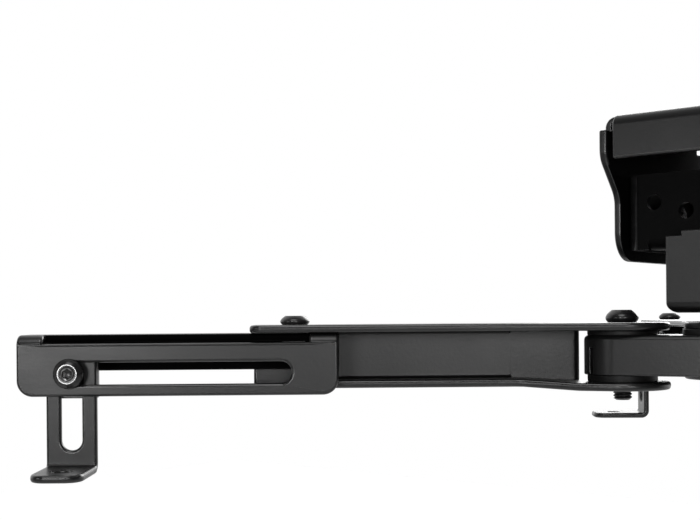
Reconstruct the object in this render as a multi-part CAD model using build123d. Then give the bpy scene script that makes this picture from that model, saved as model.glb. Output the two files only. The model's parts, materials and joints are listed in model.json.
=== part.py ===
from build123d import *
import os

# Projector ceiling mount with four jointed, telescoping arms.
# Millimetres, +Z up. The origin is the middle of the ceiling plate's top face, and all of it hangs below.

# Sheet and fits
SHEET = 2.5
INNER_BEND = 1.0
RUN_GAP = 0.05
SLIDE_GAP = 0.3
THREAD_FIT = 0.04
HOLE_SLACK = 0.4
EDGE_BREAK = 0.4

# Ceiling bracket
PLATE_LENGTH = 130.9
PLATE_DEPTH = 80.0
FLANGE_DROP = 13.8
EAR_DROP = 45.3
EAR_SHOULDER = 13.5
EAR_WAIST = 25.0
EAR_INSET = 10.5
EAR_WAIST_RADIUS = 7.0
EAR_CORNER = 9.0
CORNER_RELIEF = 4.5
CEILING_HOLE = 6.5
CEILING_HOLE_END_INSET = 11.45
CEILING_HOLE_SIDE_INSET = 7.5
CABLE_HOLE = 24.0

# Tilt cradle
PIVOT_DROP = 31.0
CRADLE_TOP_DROP = 18.0
CRADLE_HEIGHT = 24.0
CRADLE_GAP = 0.5
CRADLE_CORNER = 4.5
CRADLE_LIP = 8.5
CRADLE_LIP_INSET = 3.0
TAPPED_HOLE = 5.0
TAPPED_INSET = 9.5
TAPPED_STEP = 10.5
TAPPED_DROP = 9.0
TAPPED_FALL = 3.2

# Hub bracket
HUB_DROP = 62.1
HUB_LENGTH = 96.0
HUB_SHOULDER_DROP = 36.5
HUB_STEP = 1.5
HUB_STEP_LENGTH = 5.0
HUB_TAB_WIDTH = 26.0
HUB_TAB_RISE = 9.0
HUB_CORNER = 3.0

# Hub plate
SPACER_HEIGHT = 3.0
SPACER_DIAMETER = 30.0
HUB_SHEET = 2.0
LUG_X = 34.0
LUG_Y = 22.0
LUG_RADIUS = 10.5
HUB_DISC = 44.0

# Links
LINK_LENGTH = 30.0
LINK_HEIGHT = 12.6
LINK_RADIUS = 12.0
LINK_SHEET = 2.0
LINK_EDGE = 1.6
LINK_RELIEF = 1.6
LINK_RELIEF_ANGLE = 48.0
HUB_WASHER = 1.9
UPPER_WASHER = 1.5
LOWER_WASHER = 2.2
WASHER_DIAMETER = 22.0

# Arms
ARM_LENGTH = 119.0
ARM_BACK = 12.5
ARM_FRONT = 9.5
ARM_LUG_RADIUS = 15.0
ARM_WALL_START = 11.5
ARM_LOWER_END = 97.0
ARM_CORNER = 4.0
FLARE_START = 15.7
FLARE_END = 34.6
LOWER_JOGGLE = 1.0

# Rails
RAIL_LENGTH = 100.8
RAIL_OVERLAP = 28.1
RAIL_FACE = 10.0
RAIL_FRONT_DROP = 19.3
RAIL_REAR_DROP = 12.0
RAIL_CORNER = 5.0
RAIL_SCREW_INSET = 14.0
RAIL_SCREW_BACK = 1.5
RAIL_TRAVEL = 55.0
SLOT_HEIGHT = 6.9
SLOT_DEPTH = 12.15
SLOT_INNER_INSET = 14.7
SLOT_OUTER_INSET = 12.6
WINDOW_INNER_INSET = 9.3
WINDOW_OUTER_INSET = 8.2
WINDOW_DROP = 2.8

# Feet
FOOT_SHEET = 2.4
FOOT_WIDTH = 16.0
FOOT_RISE = 39.6
FOOT_REACH = 25.0
FOOT_SLOT = 6.5
FOOT_TRAVEL = 21.0
FOOT_HEAD = 8.15
FOOT_CORNER = 5.0
FOOT_TOP_CORNER = 2.5
FOOT_HOLE = 5.5
FOOT_HOLE_INSET = 9.5

# Fasteners
M5 = 5.0
M5_HEAD = 9.5
M5_HEAD_HEIGHT = 2.9
M5_FLAT = 6.2
M5_SOCKET = 3.0
M6 = 6.0
M6_HEAD = 10.5
M6_HEAD_HEIGHT = 4.0
M6_FLAT = 6.4
M6_SOCKET = 4.0
M6_LOW_HEAD = 2.2
M6_LOW_FLAT = 7.4
M6_NUT_WIDTH = 10.0
M6_NUT_HEIGHT = 5.0
M8 = 8.0
M8_HEAD = 14.0
M8_HEAD_HEIGHT = 4.4
M8_FLAT = 9.0
M8_SOCKET = 5.0
M8_NUT_WIDTH = 13.0
M8_NUT_HEIGHT = 5.0
SOCKET_DEPTH_SHARE = 0.6
RAIL_NUT_WIDTH = 8.0
RAIL_NUT_HEIGHT = 2.0
CLAMP_NUT_WIDTH = 16.0
CLAMP_NUT_HEIGHT = 2.2
SCREW_TAIL = 1.0
CLAMP_TAIL = 4.0
ELBOW_TAIL = 3.5

# Rest layout: plan angles of the links and arms, and how far the clamps sit from the rails' outer ends
OPEN_LINK_ANGLE = 193.0
OPEN_ARM_ANGLE = 218.0
OPEN_CLAMP_INSET = 16.6
FOLDED_LINK_ANGLE = 135.5
FOLDED_ARM_ANGLE = 124.5
FOLDED_CLAMP_INSET = 63.7
HALF_TURN = 180.0

# Heights that follow from the stack
SPACER_TOP = -HUB_DROP
HUB_TOP = SPACER_TOP - SPACER_HEIGHT
LINK_TOP = HUB_TOP - HUB_SHEET - HUB_WASHER
LINK_BOTTOM = LINK_TOP - LINK_HEIGHT
ARM_TOP = LINK_TOP + UPPER_WASHER + SHEET
LUG_LOWER_TOP = LINK_BOTTOM - LOWER_WASHER
BEAM_BOTTOM = LUG_LOWER_TOP + LOWER_JOGGLE - SHEET
RAIL_TOP = ARM_TOP - SHEET - RUN_GAP
CLAMP_HEIGHT = RAIL_TOP - SLOT_DEPTH

# Plan places that follow from the sheets
OUTER_BEND = SHEET + INNER_BEND
EAR_HALF_DEPTH = PLATE_DEPTH / 2 - EAR_INSET
CRADLE_HALF_LENGTH = PLATE_LENGTH / 2 - SHEET - CRADLE_GAP
CRADLE_HALF_DEPTH = EAR_HALF_DEPTH - SHEET
HUB_HALF_DEPTH = CRADLE_HALF_DEPTH + CRADLE_GAP + SHEET
RAIL_START = ARM_LENGTH - RAIL_OVERLAP
RAIL_END = RAIL_START + RAIL_LENGTH
RAIL_SCREW_X = ARM_LENGTH - RAIL_SCREW_INSET
RAIL_INNER_FACE = RAIL_FACE - SHEET
RAIL_REAR_FACE = -ARM_BACK + SHEET + SLIDE_GAP
LEG_FRONT = RAIL_INNER_FACE - RUN_GAP
LEG_BACK = LEG_FRONT - FOOT_SHEET
LOWER_FRONT = LEG_BACK - RUN_GAP - CLAMP_NUT_HEIGHT - SLIDE_GAP
FOOT_TOP = CLAMP_HEIGHT + FOOT_HEAD
FOOT_BOTTOM = FOOT_TOP - FOOT_RISE
BOTTOM = (Align.CENTER, Align.CENTER, Align.MIN)


def rounded(face, corners, radius):
    """Round the corners of a flat outline that lie nearest to the given points."""
    picked = [face.vertices().sort_by_distance((x, y, 0))[0] for x, y in corners]
    return fillet(picked, radius)


def sheet_plate(outline, top, thickness):
    """Flat sheet of an outline, with its top face at a height."""
    return Pos(0, 0, top) * extrude(outline, -thickness)


def upright_rod(diameter, top, bottom):
    """Upright round rod between two heights."""
    return Pos(0, 0, bottom) * Cylinder(diameter / 2, top - bottom, align=BOTTOM)


def cross_rod(diameter, length, turn):
    """Round rod centred on the origin, turned from Z by a rotation."""
    return turn * Cylinder(diameter / 2, length)


def block(x_range, y_range, z_range):
    """Square block between its limits on each axis."""
    size = [high - low for low, high in (x_range, y_range, z_range)]
    middle = [(high + low) / 2 for low, high in (x_range, y_range, z_range)]
    return Pos(*middle) * Box(*size)


def button_screw(shank, head, flat, height, socket, length):
    """Domed socket screw along Z, with its head standing on zero and its shank below."""
    dome = Cylinder(head / 2, height, align=BOTTOM)
    dome = fillet(dome.edges().sort_by(Axis.Z)[-1], (head - flat) / 2)
    hexagon = RegularPolygon(socket / 2, 6, major_radius=False)
    depth = height * SOCKET_DEPTH_SHARE
    dome -= Pos(0, 0, height - depth) * extrude(hexagon, height)
    rod = upright_rod(shank, 0, -length)
    rod = chamfer(rod.edges().sort_by(Axis.Z)[0], EDGE_BREAK)
    return dome + rod


def m5_screw(length):
    """M5 domed socket screw."""
    return button_screw(M5, M5_HEAD, M5_FLAT, M5_HEAD_HEIGHT, M5_SOCKET, length)


def m6_screw(length):
    """M6 domed socket screw."""
    return button_screw(M6, M6_HEAD, M6_FLAT, M6_HEAD_HEIGHT, M6_SOCKET, length)


def hex_nut(thread, width, height):
    """Hexagon nut hanging below zero."""
    body = extrude(RegularPolygon(width / 2, 6, major_radius=False), -height)
    return body - upright_rod(thread + THREAD_FIT, RUN_GAP, -height - RUN_GAP)


def square_nut(thread, width, height):
    """Square plate nut hanging below zero, with rounded corners."""
    body = extrude(RectangleRounded(width, width, EDGE_BREAK * 2), -height)
    return body - upright_rod(thread + THREAD_FIT, RUN_GAP, -height - RUN_GAP)


def washer(top, thickness):
    """Flat link washer with its top face at a height and its foot just clear of the face below."""
    ring = Circle(WASHER_DIAMETER / 2) - Circle(M6 / 2 + RUN_GAP)
    return sheet_plate(ring, top, thickness)


def channel_section(back, front, back_drop, front_drop):
    """Upside-down U of sheet, its web's top at zero, between a back and a front face."""
    points = [(back, -back_drop), (back, 0), (front, 0), (front, -front_drop)]
    points += [(front - SHEET, -front_drop), (front - SHEET, -SHEET)]
    points += [(back + SHEET, -SHEET), (back + SHEET, -back_drop)]
    face = make_face(Polyline(*points, close=True))
    face = rounded(face, [(back, 0), (front, 0)], OUTER_BEND)
    return rounded(face, [(back + SHEET, -SHEET), (front - SHEET, -SHEET)], INNER_BEND)


def ceiling_bracket():
    """Ceiling plate with front and rear flanges and two long side ears."""
    half_length = PLATE_LENGTH / 2
    half_depth = PLATE_DEPTH / 2
    section = channel_section(-half_depth, half_depth, FLANGE_DROP, FLANGE_DROP)
    pan_length = PLATE_LENGTH - 2 * CORNER_RELIEF
    body = Pos(-pan_length / 2, 0, 0) * extrude(Plane.YZ * section, pan_length)
    top_depth = half_depth - CORNER_RELIEF
    low = [(EAR_HALF_DEPTH, -EAR_DROP), (EAR_HALF_DEPTH, -EAR_WAIST)]
    high = [(half_depth, -EAR_SHOULDER), (half_depth, -CORNER_RELIEF), (top_depth, -CORNER_RELIEF)]
    right = low + high + [(top_depth, 0)]
    left = [(-y, z) for y, z in reversed(right)]
    ear = make_face(Polyline(*(right + left), close=True))
    ear = rounded(ear, [low[0], left[-1]], EAR_CORNER)
    ear = rounded(ear, [low[1], left[-2]], EAR_WAIST_RADIUS)
    ear = rounded(ear, [high[0], left[-3]], EAR_WAIST_RADIUS)
    wings = block((-half_length, half_length), (-top_depth, top_depth), (-SHEET, 0))
    for side in (-1, 1):
        start = side * half_length - (SHEET if side > 0 else 0)
        wings += Pos(start, 0, 0) * extrude(Plane.YZ * ear, SHEET)
    bends = wings.edges().filter_by(Axis.Y).filter_by_position(Axis.Z, -EDGE_BREAK, EDGE_BREAK)
    wings = fillet(bends, OUTER_BEND)
    body += wings
    hole_x = half_length - CEILING_HOLE_END_INSET
    hole_y = half_depth - CEILING_HOLE_SIDE_INSET
    for x in (-hole_x, hole_x):
        for y in (-hole_y, hole_y):
            body -= Pos(x, y, -SHEET) * Cylinder(CEILING_HOLE / 2, SHEET * 2)
    body -= Pos(0, 0, -SHEET) * Cylinder(CABLE_HOLE / 2, SHEET * 2)
    pitch_hole = cross_rod(M6 + 2 * RUN_GAP, PLATE_LENGTH * 2, Rot(0, 90, 0))
    return body - Pos(0, 0, -PIVOT_DROP) * pitch_hole


def add_cradle_lips(body):
    """Turn the lower edges of the cradle's long walls inwards, as folded lips."""
    half = CRADLE_HALF_LENGTH - CRADLE_CORNER - CRADLE_LIP_INSET
    low = -CRADLE_TOP_DROP - CRADLE_HEIGHT
    high = low + OUTER_BEND + SHEET
    wall = CRADLE_HALF_DEPTH
    points = [(wall, high), (wall, low), (wall - CRADLE_LIP, low), (wall - CRADLE_LIP, low + SHEET)]
    points += [(wall - SHEET, low + SHEET), (wall - SHEET, high)]
    section = make_face(Polyline(*points, close=True))
    section = rounded(section, [(wall, low)], OUTER_BEND)
    section = rounded(section, [(wall - SHEET, low + SHEET)], INNER_BEND)
    lip = extrude(Plane.YZ * section, half, both=True)
    for turn in (Rot(0, 0, 0), Rot(0, 0, HALF_TURN)):
        body -= turn * block((-half, half), (wall - SHEET, wall + SHEET), (low - SHEET, high))
        body += turn * lip
    return body


def tilt_cradle():
    """Ring of folded strip that pitches between the ears and carries the hub bracket."""
    length = 2 * CRADLE_HALF_LENGTH
    depth = 2 * CRADLE_HALF_DEPTH
    ring = RectangleRounded(length, depth, CRADLE_CORNER)
    ring -= RectangleRounded(length - 2 * SHEET, depth - 2 * SHEET, CRADLE_CORNER - SHEET)
    body = sheet_plate(ring, -CRADLE_TOP_DROP, CRADLE_HEIGHT)
    body = add_cradle_lips(body)
    pitch_hole = cross_rod(M6 + HOLE_SLACK, length * 2, Rot(0, 90, 0))
    roll_hole = cross_rod(M6 + 2 * RUN_GAP, depth * 2, Rot(90, 0, 0))
    body -= Pos(0, 0, -PIVOT_DROP) * (pitch_hole + roll_hole)
    tapped = cross_rod(TAPPED_HOLE, depth * 2, Rot(90, 0, 0))
    for step in (0, 1):
        x = CRADLE_HALF_LENGTH - TAPPED_INSET - step * TAPPED_STEP
        z = -CRADLE_TOP_DROP - TAPPED_DROP - step * TAPPED_FALL
        body -= Pos(-x, 0, z) * tapped
        body -= Pos(x, 0, z) * tapped
    return body


def hub_bracket():
    """U bracket that rolls on the cradle: a floor with front and rear walls and a pivot tab on each."""
    wall = HUB_DROP - PIVOT_DROP + HUB_TAB_RISE
    section = mirror(channel_section(-HUB_HALF_DEPTH, HUB_HALF_DEPTH, wall, wall), Plane.XZ)
    body = extrude(Plane.YZ * section, HUB_LENGTH)
    body = Pos(-HUB_LENGTH / 2, 0, -HUB_DROP) * body
    half = HUB_LENGTH / 2
    tab = HUB_TAB_WIDTH / 2
    shoulder = -HUB_SHOULDER_DROP
    low_shoulder = shoulder - HUB_STEP
    tab_top = -PIVOT_DROP + HUB_TAB_RISE
    right = [(half, -HUB_DROP), (half, low_shoulder), (half - HUB_STEP_LENGTH, low_shoulder)]
    right += [(half - HUB_STEP_LENGTH, shoulder), (tab, shoulder), (tab, tab_top)]
    left = [(-x, z) for x, z in reversed(right)]
    face = make_face(Polyline(*(right + left), close=True))
    face = rounded(face, [right[0], left[-1]], HUB_CORNER)
    face = rounded(face, [right[-1], left[0]], HUB_CORNER)
    body = body & extrude(Plane.XZ * face, HUB_HALF_DEPTH * 2, both=True)
    roll_hole = cross_rod(M6 + HOLE_SLACK, HUB_HALF_DEPTH * 4, Rot(90, 0, 0))
    body -= Pos(0, 0, -PIVOT_DROP) * roll_hole
    return body - Pos(0, 0, -HUB_DROP) * Cylinder((M8 + HOLE_SLACK) / 2, SHEET * 4)


def side_bolts(reach, grip, turn, opposite):
    """Pair of pivot bolts, their heads seated at a reach on either side of the middle."""
    bolt = Pos(0, 0, reach) * m6_screw(grip + M6_NUT_HEIGHT + SCREW_TAIL)
    return [Pos(0, 0, -PIVOT_DROP) * (side * bolt) for side in (turn, opposite)]


def side_nuts(reach, turn, opposite):
    """Pair of pivot nuts inside the cradle, seated at a reach on either side of the middle."""
    nut = Pos(0, 0, reach) * hex_nut(M6, M6_NUT_WIDTH, M6_NUT_HEIGHT)
    return [Pos(0, 0, -PIVOT_DROP) * (side * nut) for side in (turn, opposite)]


def yaw_spacer():
    """Round spacer between the hub bracket's floor and the hub plate."""
    ring = Circle(SPACER_DIAMETER / 2) - Circle((M8 + HOLE_SLACK) / 2)
    return sheet_plate(ring, SPACER_TOP, SPACER_HEIGHT - RUN_GAP)


def yaw_bolt():
    """Domed bolt that the hub plate turns on."""
    length = SHEET + SPACER_HEIGHT + HUB_SHEET + M8_NUT_HEIGHT + SCREW_TAIL
    bolt = button_screw(M8, M8_HEAD, M8_FLAT, M8_HEAD_HEIGHT, M8_SOCKET, length)
    return Pos(0, 0, SPACER_TOP + SHEET) * bolt


def yaw_nut():
    """Nut under the hub plate."""
    return Pos(0, 0, HUB_TOP - HUB_SHEET - RUN_GAP) * hex_nut(M8, M8_NUT_WIDTH, M8_NUT_HEIGHT)


def hub_plate():
    """Cross-shaped plate with a round lug for each link."""
    outline = Circle(HUB_DISC / 2)
    for side in (-1, 1):
        near = Pos(-LUG_X, -side * LUG_Y) * Circle(LUG_RADIUS)
        far = Pos(LUG_X, side * LUG_Y) * Circle(LUG_RADIUS)
        outline += make_hull(near.edges() + far.edges())
    outline -= Circle(M8 / 2 + RUN_GAP)
    for x in (-LUG_X, LUG_X):
        for y in (-LUG_Y, LUG_Y):
            outline -= Pos(x, y) * Circle((M6 + HOLE_SLACK) / 2)
    return sheet_plate(outline, HUB_TOP, HUB_SHEET)


def link():
    """Pressed shell link, open below, with a folded tab at its elbow nose. Hub hole at the origin."""
    shell_place = Pos(LINK_LENGTH / 2, 0)
    outer = shell_place * SlotCenterToCenter(LINK_LENGTH, 2 * LINK_RADIUS)
    inner = shell_place * SlotCenterToCenter(LINK_LENGTH, 2 * (LINK_RADIUS - LINK_SHEET))
    body = sheet_plate(outer, LINK_TOP, LINK_HEIGHT)
    body = fillet(body.faces().sort_by(Axis.Z)[-1].edges(), LINK_EDGE)
    body -= sheet_plate(inner, LINK_TOP - LINK_SHEET, LINK_HEIGHT)
    reach = (LINK_RADIUS - LINK_SHEET * 2, LINK_RADIUS + LINK_SHEET)
    drop = (LINK_BOTTOM - LINK_SHEET, LINK_TOP - 2 * LINK_SHEET)
    relief = block(reach, (-LINK_RELIEF / 2, LINK_RELIEF / 2), drop)
    for angle in (-LINK_RELIEF_ANGLE, LINK_RELIEF_ANGLE):
        body -= Pos(LINK_LENGTH, 0, 0) * Rot(0, 0, angle) * relief
    for x in (0, LINK_LENGTH):
        body -= Pos(x, 0, 0) * upright_rod(M6 + 2 * RUN_GAP, LINK_TOP + LINK_SHEET, LINK_BOTTOM)
    return body


def link_washers():
    """Washers above the link at both ends and under it at the elbow."""
    elbow = Pos(LINK_LENGTH, 0, 0)
    hub_side = washer(LINK_TOP + HUB_WASHER - RUN_GAP, HUB_WASHER - RUN_GAP)
    upper = elbow * washer(LINK_TOP + UPPER_WASHER - RUN_GAP, UPPER_WASHER - RUN_GAP)
    lower = elbow * washer(LINK_BOTTOM, LOWER_WASHER - RUN_GAP)
    return [hub_side, upper, lower]


def link_screw():
    """Low screw through the hub plate's lug, the washer and the link, its head under the hub bracket."""
    grip = HUB_SHEET + HUB_WASHER + LINK_SHEET
    length = grip + RUN_GAP + M6_NUT_HEIGHT
    screw = button_screw(M6, M6_HEAD, M6_LOW_FLAT, M6_LOW_HEAD, M6_SOCKET, length)
    return Pos(0, 0, HUB_TOP) * screw


def link_nut():
    """Nut inside the link's shell."""
    return Pos(0, 0, LINK_TOP - LINK_SHEET - RUN_GAP) * hex_nut(M6, M6_NUT_WIDTH, M6_NUT_HEIGHT)


def elbow_screw():
    """Screw through the arm's upper plate and the link, threaded into the arm's lower plate."""
    return Pos(0, 0, ARM_TOP) * m6_screw(ARM_TOP - LUG_LOWER_TOP + SHEET + ELBOW_TAIL)


def flared_lug(front):
    """Plan outline of an arm plate's round elbow lug, narrowing to the beam."""
    ring = Circle(ARM_LUG_RADIUS)
    neck_middle = (front - ARM_BACK) / 2
    neck = Pos(FLARE_END - SHEET / 2, neck_middle) * Rectangle(SHEET, front + ARM_BACK)
    return make_hull(ring.edges() + neck.edges())


def arm():
    """Folded channel arm, open towards the rail's face. Elbow at the origin, outwards along +X."""
    top = ARM_TOP
    bottom = BEAM_BOTTOM
    inner = -ARM_BACK + SHEET
    points = [(ARM_FRONT, top), (-ARM_BACK, top), (-ARM_BACK, bottom), (LOWER_FRONT, bottom)]
    points += [(LOWER_FRONT, bottom + SHEET), (inner, bottom + SHEET)]
    points += [(inner, top - SHEET), (ARM_FRONT, top - SHEET)]
    section = make_face(Polyline(*points, close=True))
    section = rounded(section, [(-ARM_BACK, top), (-ARM_BACK, bottom)], OUTER_BEND)
    section = rounded(section, [(inner, top - SHEET), (inner, bottom + SHEET)], INNER_BEND)
    beam_start = FLARE_END - EDGE_BREAK
    body = Pos(beam_start, 0, 0) * extrude(Plane.YZ * section, ARM_LENGTH - beam_start)
    body -= block((ARM_LOWER_END, ARM_LENGTH * 2), (inner, ARM_FRONT * 2), (bottom * 2, bottom + SHEET * 2))
    upright_edges = body.edges().filter_by(Axis.Z)
    front_edges = upright_edges.filter_by_position(Axis.Y, LOWER_FRONT + EDGE_BREAK, ARM_FRONT * 2)
    body = fillet(front_edges.sort_by(Axis.X)[-1], ARM_CORNER)
    body += sheet_plate(flared_lug(ARM_FRONT), top, SHEET)
    body += block((ARM_WALL_START, FLARE_END), (-ARM_BACK, inner), (LUG_LOWER_TOP, top))
    joggle = [(-ARM_LUG_RADIUS * 2, LUG_LOWER_TOP), (FLARE_START, LUG_LOWER_TOP)]
    joggle += [(FLARE_END - SHEET, LUG_LOWER_TOP + LOWER_JOGGLE), (FLARE_END, LUG_LOWER_TOP + LOWER_JOGGLE)]
    underside = [(x, z - SHEET) for x, z in reversed(joggle)]
    joggle_face = make_face(Polyline(*(joggle + underside), close=True))
    strip = extrude(Plane.XZ * joggle_face, ARM_LUG_RADIUS * 2, both=True)
    body += strip & sheet_plate(flared_lug(LOWER_FRONT), top, (top - bottom) * 2)
    body -= upright_rod(M6 + HOLE_SLACK, top + SHEET, LINK_TOP)
    body -= upright_rod(M6 + THREAD_FIT, LINK_BOTTOM, bottom - SHEET * 2)
    screw_hole = upright_rod(M5 + HOLE_SLACK, top + SHEET, top - SHEET * 2)
    return body - Pos(RAIL_SCREW_X, -RAIL_SCREW_BACK, 0) * screw_hole


def rail_screw():
    """Screw that holds the rail under the arm's upper plate."""
    length = SHEET + RUN_GAP + SHEET + RUN_GAP + RAIL_NUT_HEIGHT + SCREW_TAIL
    return Pos(RAIL_SCREW_X, -RAIL_SCREW_BACK, ARM_TOP) * m5_screw(length)


def rail_nut():
    """Thin square nut under the rail's web."""
    nut = square_nut(M5, RAIL_NUT_WIDTH, RAIL_NUT_HEIGHT)
    return Pos(RAIL_SCREW_X, -RAIL_SCREW_BACK, RAIL_TOP - SHEET - RUN_GAP) * nut


def slot_cutter(length, height, depth):
    """Round-ended cutter lying along X, through the XZ plane."""
    return extrude(Plane.XZ * SlotOverall(length, height), depth, both=True)


def rail():
    """Slotted rail that telescopes under the arm, with a window that lets the foot rise past its web."""
    section = channel_section(RAIL_REAR_FACE, RAIL_FACE, RAIL_REAR_DROP, RAIL_FRONT_DROP)
    body = Pos(RAIL_START, 0, RAIL_TOP) * extrude(Plane.YZ * section, RAIL_LENGTH)
    corners = body.edges().filter_by(Axis.Y).filter_by_position(Axis.Y, RAIL_INNER_FACE, RAIL_FACE)
    body = fillet(corners.sort_by(Axis.Z)[:2], RAIL_CORNER)
    slot_start = RAIL_START + SLOT_INNER_INSET
    slot_end = RAIL_END - SLOT_OUTER_INSET
    long_slot = slot_cutter(slot_end - slot_start, SLOT_HEIGHT, SHEET)
    body -= Pos((slot_start + slot_end) / 2, RAIL_FACE - SHEET / 2, CLAMP_HEIGHT) * long_slot
    window_x = (RAIL_START + WINDOW_INNER_INSET, RAIL_END - WINDOW_OUTER_INSET)
    leg_path_y = (LEG_BACK - HOLE_SLACK, RAIL_INNER_FACE)
    body -= block(window_x, (leg_path_y[0], RAIL_FACE + SHEET), (RAIL_TOP - WINDOW_DROP, RAIL_TOP + SHEET))
    body -= block(window_x, leg_path_y, (RAIL_TOP - OUTER_BEND - SLIDE_GAP, RAIL_TOP + SHEET))
    web_slot_width = M5 + 2 * SLIDE_GAP
    web_slot = SlotCenterToCenter(RAIL_TRAVEL, web_slot_width)
    web_middle = RAIL_SCREW_X + RAIL_TRAVEL / 2
    web_cutter = Pos(web_middle, -RAIL_SCREW_BACK, RAIL_TOP + SHEET) * extrude(web_slot, -SHEET * 3)
    return body - web_cutter


def foot():
    """L-shaped foot with a height slot, on the arm's own line. Clamp screw at X zero."""
    toe = LEG_BACK + FOOT_REACH
    points = [(LEG_BACK, FOOT_TOP), (LEG_FRONT, FOOT_TOP), (LEG_FRONT, FOOT_BOTTOM + FOOT_SHEET)]
    points += [(toe, FOOT_BOTTOM + FOOT_SHEET), (toe, FOOT_BOTTOM), (LEG_BACK, FOOT_BOTTOM)]
    section = make_face(Polyline(*points, close=True))
    section = rounded(section, [points[5]], FOOT_SHEET + INNER_BEND)
    section = rounded(section, [points[2]], INNER_BEND)
    body = extrude(Plane.YZ * section, FOOT_WIDTH / 2, both=True)
    toe_corners = body.edges().filter_by(Axis.Z).sort_by(Axis.Y)[-2:]
    body = fillet(toe_corners, FOOT_CORNER)
    head_corners = body.edges().filter_by(Axis.Y).sort_by(Axis.Z)[-2:]
    body = fillet(head_corners, FOOT_TOP_CORNER)
    slot = Plane.XZ * Rot(0, 0, 90) * SlotCenterToCenter(FOOT_TRAVEL, FOOT_SLOT)
    slot_middle = CLAMP_HEIGHT - FOOT_TRAVEL / 2
    body -= Pos(0, LEG_FRONT, slot_middle) * extrude(slot, FOOT_SHEET * 2, both=True)
    hole = upright_rod(FOOT_HOLE, FOOT_BOTTOM + FOOT_SHEET * 2, FOOT_BOTTOM - FOOT_SHEET)
    return body - Pos(0, toe - FOOT_HOLE_INSET, 0) * hole


def clamp_screw():
    """Screw through the rail's slot and the foot's slot, its head on the rail's face."""
    length = RAIL_FACE - LEG_BACK + RUN_GAP + CLAMP_NUT_HEIGHT + CLAMP_TAIL
    return Pos(0, RAIL_FACE + RUN_GAP, CLAMP_HEIGHT) * Rot(-90, 0, 0) * m5_screw(length)


def clamp_nut():
    """Square plate nut behind the foot's leg."""
    nut = square_nut(M5, CLAMP_NUT_WIDTH, CLAMP_NUT_HEIGHT)
    return Pos(0, LEG_BACK - RUN_GAP, CLAMP_HEIGHT) * Rot(-90, 0, 0) * nut


def arm_layout():
    """Each arm's name, its lug's place, its link and arm angles and its clamp's distance."""
    opened = (OPEN_LINK_ANGLE, OPEN_ARM_ANGLE, RAIL_END - OPEN_CLAMP_INSET)
    folded = (FOLDED_LINK_ANGLE, FOLDED_ARM_ANGLE, RAIL_END - FOLDED_CLAMP_INSET)
    rows = []
    for name, x_side, y_side, turn, angles in (
        ("front_left", -1, -1, 0, opened),
        ("back_left", -1, 1, 0, folded),
        ("back_right", 1, 1, HALF_TURN, opened),
        ("front_right", 1, -1, HALF_TURN, folded),
    ):
        rows.append((name, x_side * LUG_X, y_side * LUG_Y, angles[0] + turn, angles[1] + turn, angles[2]))
    return rows


def centre_nodes():
    """Pieces of the ceiling bracket, the tilt cradle and the hub."""
    across = (Rot(0, 90, 0), Rot(0, -90, 0))
    along = (Rot(90, 0, 0), Rot(-90, 0, 0))
    ear_grip = 2 * SHEET + CRADLE_GAP
    return {
        "ceiling_bracket": ceiling_bracket(),
        "tilt_cradle": tilt_cradle(),
        "pitch_bolts": side_bolts(PLATE_LENGTH / 2 + RUN_GAP, ear_grip, *across),
        "pitch_nuts": side_nuts(CRADLE_HALF_LENGTH - SHEET, *across),
        "hub_bracket": hub_bracket(),
        "roll_bolts": side_bolts(HUB_HALF_DEPTH, ear_grip, *along),
        "roll_nuts": side_nuts(CRADLE_HALF_DEPTH - SHEET - RUN_GAP, *along),
        "yaw_spacer": yaw_spacer(),
        "yaw_bolt": yaw_bolt(),
        "yaw_nut": yaw_nut(),
        "hub_plate": hub_plate(),
    }


def arm_nodes(name, lug_x, lug_y, link_angle, arm_angle, clamp):
    """Pieces of one arm, from its link to its foot, at their rest places."""
    hub = Pos(lug_x, lug_y, 0) * Rot(0, 0, link_angle)
    elbow = hub * Pos(LINK_LENGTH, 0, 0) * Rot(0, 0, arm_angle - link_angle)
    carriage = elbow * Pos(clamp, 0, 0)
    return {
        "link_" + name: hub * link(),
        "link_washers_" + name: [hub * ring for ring in link_washers()],
        "link_screw_" + name: hub * link_screw(),
        "link_nut_" + name: hub * link_nut(),
        "elbow_screw_" + name: elbow * elbow_screw(),
        "arm_" + name: elbow * arm(),
        "rail_screw_" + name: elbow * rail_screw(),
        "rail_nut_" + name: elbow * rail_nut(),
        "rail_" + name: elbow * rail(),
        "clamp_screw_" + name: carriage * clamp_screw(),
        "clamp_nut_" + name: carriage * clamp_nut(),
        "foot_" + name: carriage * foot(),
    }


nodes = centre_nodes()
for row in arm_layout():
    nodes.update(arm_nodes(*row))

os.makedirs("parts", exist_ok=True)
for node, shape in nodes.items():
    solids = [solid for piece in (shape if isinstance(shape, list) else [shape]) for solid in piece.solids()]
    export_step(solids[0] if len(solids) == 1 else Compound(children=solids), "parts/" + node + ".step")
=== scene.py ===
import json
import logging
import math
from collections.abc import Callable
from dataclasses import dataclass
from enum import Enum, IntEnum

import bmesh
import bpy
from mathutils import Matrix, Vector


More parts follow.
